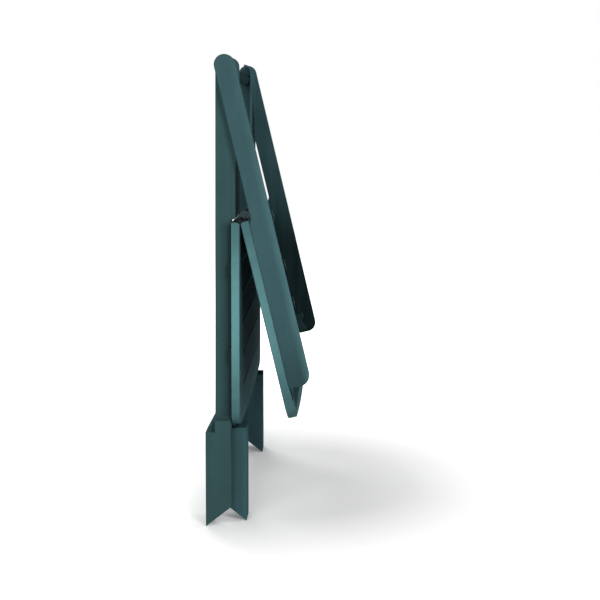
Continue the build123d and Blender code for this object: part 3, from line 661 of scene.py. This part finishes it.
class GARDEN_TABLE_OT_legs(bpy.types.Operator):
    """Finish the four legs and the bars that join them"""

    bl_idname = "garden_table.legs"
    bl_label = "Legs and bars"

    def execute(self, context):
        tint = colours()
        outer = resin_material(
            "outer_leg_resin", tint.leg, tint.leg_pale,
            drawn=(120.0, 120.0, 2.5), roughness=0.80, dress=painted_leaf_shadow,
        )
        finish_nodes(OUTER_LEG_NODES, outer)
        inner = resin_material(
            "inner_leg_resin", tint.resin, tint.resin_pale,
            drawn=(160.0, 160.0, 2.5), roughness=0.80, dress=deep_wall_painted_shade, shine=0.0,
        )
        finish_nodes(INNER_LEG_NODES, inner)
        lying = resin_material(
            "bar_resin", tint.leg, tint.leg_pale, drawn=(120.0, 2.5, 120.0), roughness=0.80
        )
        finish_nodes(BAR_NODES, lying)
        round_bar = resin_material(
            "top_bar_resin", tint.bar, times(1.4, tint.bar),
            drawn=(200.0, 3.0, 200.0), roughness=0.75, shine=0.0,
        )
        finish_nodes(("top_bar",), round_bar)
        return {"FINISHED"}


class GARDEN_TABLE_OT_rails(bpy.types.Operator):
    """Finish the rails and the cradles under the fixed leaf"""

    bl_idname = "garden_table.rails"
    bl_label = "Rails and cradles"

    def execute(self, context):
        tint = colours()
        rail_finish = resin_material(
            "rail_resin", tint.resin, tint.resin_pale,
            drawn=(70.0, 70.0, 5.0), roughness=0.78, dress=rail_painted_light,
        )
        finish_nodes(RAIL_NODES, rail_finish)
        # Painted shade: the cradles take the dark shade colour as their base, so they are darker all over
        # than the rails.
        shaded = resin_material(
            "cradle_resin", tint.painted_shade, tint.leg, drawn=(70.0, 70.0, 70.0), roughness=0.80, shine=0.0
        )
        finish_nodes(CRADLE_NODES, shaded)
        return {"FINISHED"}


class GARDEN_TABLE_OT_leaves(bpy.types.Operator):
    """Finish the two slatted leaves, paler on their smooth sides"""

    bl_idname = "garden_table.leaves"
    bl_label = "Leaves"

    def execute(self, context):
        tint = colours()
        tilt = sizes().leaf_tilt
        thickness = ((math.cos(tilt), 0.0, math.sin(tilt)), (1.0, 0.0, 0.0))
        for node, across, (share, start) in zip(LEAF_NODES, thickness, LEAF_SIDE_PALENESS_AND_LIGHT):
            slats = resin_material(
                f"{node}_resin", tint.resin, tint.resin_pale,
                drawn=(60.0, 2.2, 60.0), roughness=0.80, dress=pale_sides_and_painted_light(across, share, start), shine=0.01,
            )
            finish_nodes((node,), slats)
        return {"FINISHED"}


class GARDEN_TABLE_OT_hinges(bpy.types.Operator):
    """Finish the hinges between the leaves, with their pins"""

    bl_idname = "garden_table.hinges"
    bl_label = "Hinges"

    def execute(self, context):
        tint = colours()
        dark = resin_material(
            "dark_resin", tint.hinge, times(1.5, tint.hinge),
            drawn=(200.0, 200.0, 200.0), roughness=0.7, shine=0.0,
        )
        finish_nodes(HINGE_NODES, dark)
        finish_nodes(("hinge_pins",), black_steel("hinge_pin_steel"))
        return {"FINISHED"}


class GARDEN_TABLE_OT_steel(bpy.types.Operator):
    """Finish the axle, the pins and the washers"""

    bl_idname = "garden_table.steel"
    bl_label = "Axle, pins and washers"

    def execute(self, context):
        tint = colours()
        finish_nodes(STEEL_NODES, steel_material("plated_steel", tint.steel, tint.steel_dull))
        return {"FINISHED"}


class GARDEN_TABLE_OT_pads(bpy.types.Operator):
    """Finish the pads that keep the closed leaves apart"""

    bl_idname = "garden_table.pads"
    bl_label = "Leaf pads"

    def execute(self, context):
        finish_nodes(("leaf_pads",), rubber_material("pad_rubber"))
        return {"FINISHED"}


def screw_corners(node):
    """The corners of each separate screw in a node of the frame."""
    mesh = bmesh.new()
    mesh.from_mesh(NODES[node].data)
    bmesh.ops.remove_doubles(mesh, verts=mesh.verts, dist=SAME_PLACE)
    seen = set()
    screws = []
    for start in mesh.verts:
        if start in seen:
            continue
        seen.add(start)
        reached = [start]
        for corner in reached:
            for edge in corner.link_edges:
                other = edge.other_vert(corner)
                if other not in seen:
                    seen.add(other)
                    reached.append(other)
        screws.append(np.array([corner.co for corner in reached]))
    mesh.free()
    return screws


def screw_measures(corners):
    """Where a screw's head is, which way it points, and its radii, head height and length."""
    middle = corners.mean(axis=0)
    axis = np.linalg.svd(corners - middle)[2][0]
    reach = (corners - middle) @ axis
    ends = [corners[reach < reach.min() + SAME_END], corners[reach > reach.max() - SAME_END]]
    centres = [end.mean(axis=0) for end in ends]
    radii = [np.linalg.norm(end - centre, axis=1).max() for end, centre in zip(ends, centres)]
    head = int(np.argmax(radii))
    length = np.linalg.norm(centres[1 - head] - centres[head])
    axis = (centres[1 - head] - centres[head]) / length
    depth = (corners - centres[head]) @ axis
    neck = depth[depth > 2.0 * SAME_END].min()
    measures = (radii[head], radii[1 - head], neck, length)
    return Vector(centres[head]), Vector(axis), *(float(measure) for measure in measures)


def move_out(distance, scale):
    """Extrudes the selected end along the screw and widens or narrows it."""
    bpy.ops.mesh.extrude_region_move(TRANSFORM_OT_translate={"value": (0.0, 0.0, distance)})
    bpy.ops.transform.resize(value=(scale, scale, 1.0))


def model_screw(name, head_radius, radius, neck, length):
    """One countersunk screw with a cross recess, along +z from its flat head at the origin."""
    clear_selection()
    plain = PLAIN_SHARE * (length - neck)
    bpy.ops.mesh.primitive_cylinder_add(
        vertices=SCREW_SIDES, radius=radius, depth=plain, location=(0.0, 0.0, neck + plain / 2)
    )
    screw = bpy.context.active_object
    screw.name = name
    bpy.ops.object.transform_apply(location=True, rotation=True, scale=True)
    edit_faces(screw, lambda face: face.normal.z < -END_FACE)
    move_out(-neck, head_radius / radius)
    bpy.ops.mesh.bevel(offset=HEAD_BEVEL * head_radius, segments=2)
    edit_faces(screw, lambda face: face.normal.z > END_FACE)
    point = POINT_LENGTH * radius
    threaded = length - neck - plain - point
    turns = max(2, round(threaded / (THREAD_PITCH * radius)))
    for widening in THREAD_STEPS * turns:
        move_out(threaded / (len(THREAD_STEPS) * turns), widening)
    for share, widening in POINT_STEPS:
        move_out(share * point, widening)
    bpy.ops.object.mode_set(mode="OBJECT")
    deep = sizes().recess_depth * head_radius / RECESS_HEAD_RADIUS
    arm_length, arm_width = (share * head_radius for share in RECESS_ARM)
    for turn in (0.0, math.pi / 2):
        clear_selection()
        bpy.ops.mesh.primitive_cube_add(size=1.0, location=(0.0, 0.0, 0.0), rotation=(0.0, 0.0, turn))
        arm = bpy.context.active_object
        arm.scale = (arm_length, arm_width, 2.0 * deep)
        bpy.ops.object.transform_apply(location=True, rotation=True, scale=True)
        edit_faces(arm, lambda face: face.normal.z > END_FACE)
        bpy.ops.transform.resize(value=(RECESS_TAPER, RECESS_TAPER, 1.0))
        bpy.ops.object.mode_set(mode="OBJECT")
        cut = screw.modifiers.new("recess", "BOOLEAN")
        cut.operation = "DIFFERENCE"
        cut.object = arm
        clear_selection()
        screw.select_set(True)
        bpy.context.view_layer.objects.active = screw
        bpy.ops.object.modifier_apply(modifier=cut.name)
        bpy.data.objects.remove(arm, do_unlink=True)
    bpy.ops.object.shade_smooth_by_angle(angle=SMOOTH_ANGLE)
    return screw


class GARDEN_TABLE_OT_screws(bpy.types.Operator):
    """Model the screws and set one in each place that the frame gives"""

    bl_idname = "garden_table.screws"
    bl_label = "Screws"

    def execute(self, context):
        tint = colours()
        plated = steel_material("screw_steel", tint.steel, tint.steel_dull)
        black = black_steel("hinge_screw_steel")
        for node, body in SCREW_BODIES.items():
            measures = [screw_measures(corners) for corners in screw_corners(node)]
            pattern = model_screw(f"{node}_driven", *measures[0][2:])
            pattern.data.materials.append(black if node.startswith("hinge") else plated)
            copies = []
            for head, axis, *_ in measures:
                copy = pattern.copy()
                copy.data = pattern.data.copy()
                context.scene.collection.objects.link(copy)
                turn = axis.to_track_quat("Z", "Y").to_matrix().to_4x4()
                copy.matrix_world = Matrix.Translation(head) @ turn
                copies.append(copy)
            bpy.data.objects.remove(pattern, do_unlink=True)
            clear_selection()
            for copy in copies:
                copy.select_set(True)
            context.view_layer.objects.active = copies[0]
            bpy.ops.object.transform_apply(location=True, rotation=True, scale=True)
            bpy.ops.object.join()
            driven = context.active_object
            driven.name = f"{node}_driven"
            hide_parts(node)
            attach(driven, body)
        return {"FINISHED"}


def floor_material():
    """Pale floor lifted by a painted glow that only the eye sees: white on the left and far out, where no
    shadow is to show, and lifted less near the table.
    """
    material, tree, shader, place = start_material("studio_floor")
    tree.nodes.remove(shader)
    clean = stretch(tree, noise(tree, place, 3.0, 3.0, 0.5), 0.2, 0.8, 0.97, 1.0)
    shade = blend_colour(tree, clean, four(FLOOR_PATCH), four(colours().floor))
    matt = add_node(tree, "ShaderNodeBsdfDiffuse")
    feed(tree, matt.inputs["Color"], shade)
    lift = add_node(tree, "ShaderNodeEmission")
    lift.inputs["Color"].default_value = WHITE
    # Painted light: the glow hides the table's shadow on the left and far out, and keeps it near the table
    # on the right.
    from_middle = add_node(tree, "ShaderNodeVectorMath", operation="LENGTH")
    feed(tree, from_middle.inputs[0], place)
    shaded, clear = 0.13, 0.95
    outward_fade = (0.30, 1.0)
    left_fade = (-0.04, -0.26)
    around = stretch(tree, from_middle.outputs["Value"], *outward_fade, shaded, clear)
    leftwards = stretch(tree, parts_of(tree, place)["X"], *left_fade, 0.0, clear)
    lit = compute(tree, "MAXIMUM", around, leftwards)
    feed(tree, lift.inputs["Strength"], compute(tree, "MULTIPLY", seen_directly(tree), lit))
    both = add_node(tree, "ShaderNodeAddShader")
    feed(tree, both.inputs[0], matt.outputs[0])
    feed(tree, both.inputs[1], lift.outputs[0])
    feed(tree, tree.nodes["Material Output"].inputs["Surface"], both.outputs[0])
    return material


def studio_world():
    """White surroundings to the eye, and an even soft light for everything else."""
    world = bpy.data.worlds.new("studio")
    world.use_nodes = True
    tree = world.node_tree
    back = tree.nodes["Background"]
    back.inputs["Color"].default_value = WHITE
    feed(tree, back.inputs["Strength"], stretch(tree, seen_directly(tree), 0.0, 1.0, AMBIENT, 1.0))
    bpy.context.scene.world = world


def soft_light(name, place, target, width, watts):
    """A square area light that looks at a point."""
    data = bpy.data.lights.new(name, "AREA")
    data.shape = "SQUARE"
    data.size = width
    data.energy = watts
    lamp = bpy.data.objects.new(name, data)
    bpy.context.scene.collection.objects.link(lamp)
    lamp.location = place
    lamp.rotation_euler = (Vector(target) - Vector(place)).to_track_quat("-Z", "Y").to_euler()


def picture_camera():
    """The camera of the picture: low, a little to the right, and tilted down."""
    level = Vector((-math.sin(CAMERA_YAW), math.cos(CAMERA_YAW), 0.0)) * math.cos(CAMERA_PITCH)
    ahead = level - Vector((0.0, 0.0, math.sin(CAMERA_PITCH)))
    side = Vector((math.cos(CAMERA_YAW), math.sin(CAMERA_YAW), 0.0))
    above = side.cross(ahead)
    right = side * math.cos(CAMERA_ROLL) - above * math.sin(CAMERA_ROLL)
    up = side * math.sin(CAMERA_ROLL) + above * math.cos(CAMERA_ROLL)
    data = bpy.data.cameras.new("picture")
    data.sensor_width = CAMERA_SENSOR
    data.lens = CAMERA_LENS
    camera = bpy.data.objects.new("picture", data)
    bpy.context.scene.collection.objects.link(camera)
    turn = Matrix((right, up, -ahead)).transposed().to_4x4()
    camera.matrix_world = Matrix.Translation(CAMERA_PLACE) @ turn
    bpy.context.scene.camera = camera


class GARDEN_TABLE_OT_stage(bpy.types.Operator):
    """Set the floor, the lights and the camera"""

    bl_idname = "garden_table.stage"
    bl_label = "Studio"

    def execute(self, context):
        clear_selection()
        bpy.ops.mesh.primitive_circle_add(
            vertices=FLOOR_SIDES, radius=sizes().floor_radius, fill_type="NGON"
        )
        floor = context.active_object
        floor.name = "floor"
        edit_faces(floor, lambda face: True)
        bpy.ops.mesh.inset(thickness=sizes().floor_radius * FLOOR_INSET)
        bpy.ops.object.mode_set(mode="OBJECT")
        floor.data.materials.append(floor_material())
        studio_world()
        for name, place, aim, width, watts in LIGHTS:
            soft_light(name, place, (0.0, 0.0, aim), width, watts)
        picture_camera()
        context.scene.view_settings.view_transform = "Standard"
        return {"FINISHED"}


OPERATORS = (
    GARDEN_TABLE_OT_legs,
    GARDEN_TABLE_OT_rails,
    GARDEN_TABLE_OT_leaves,
    GARDEN_TABLE_OT_hinges,
    GARDEN_TABLE_OT_steel,
    GARDEN_TABLE_OT_pads,
    GARDEN_TABLE_OT_screws,
    GARDEN_TABLE_OT_stage,
)


class GARDEN_TABLE_PT_sidebar(bpy.types.Panel):
    """Lists the steps that finish the table"""

    bl_idname = "GARDEN_TABLE_PT_sidebar"
    bl_label = "Garden table"
    bl_space_type = "VIEW_3D"
    bl_region_type = "UI"
    bl_category = "Garden table"

    def draw(self, context):
        for group in (context.scene.table_sizes, context.scene.table_colours):
            for key in group.bl_rna.properties.keys():
                if key not in ("rna_type", "name"):
                    self.layout.prop(group, key)
        for operator in OPERATORS:
            self.layout.operator(operator.bl_idname)


CLASSES = (TableSizes, TableColours) + OPERATORS + (GARDEN_TABLE_PT_sidebar,)


def register():
    """Adds the classes and the settings that they read."""
    for cls in CLASSES:
        bpy.utils.register_class(cls)
    bpy.types.Scene.table_sizes = bpy.props.PointerProperty(type=TableSizes)
    bpy.types.Scene.table_colours = bpy.props.PointerProperty(type=TableColours)


def unregister():
    """Takes away what register added."""
    del bpy.types.Scene.table_colours
    del bpy.types.Scene.table_sizes
    for cls in reversed(CLASSES):
        bpy.utils.unregister_class(cls)


def main():
    """Runs every step."""
    register()
    bpy.ops.garden_table.legs()
    bpy.ops.garden_table.rails()
    bpy.ops.garden_table.leaves()
    bpy.ops.garden_table.hinges()
    bpy.ops.garden_table.steel()
    bpy.ops.garden_table.pads()
    bpy.ops.garden_table.screws()
    bpy.ops.garden_table.stage()


if __name__ == "__main__":
    main()
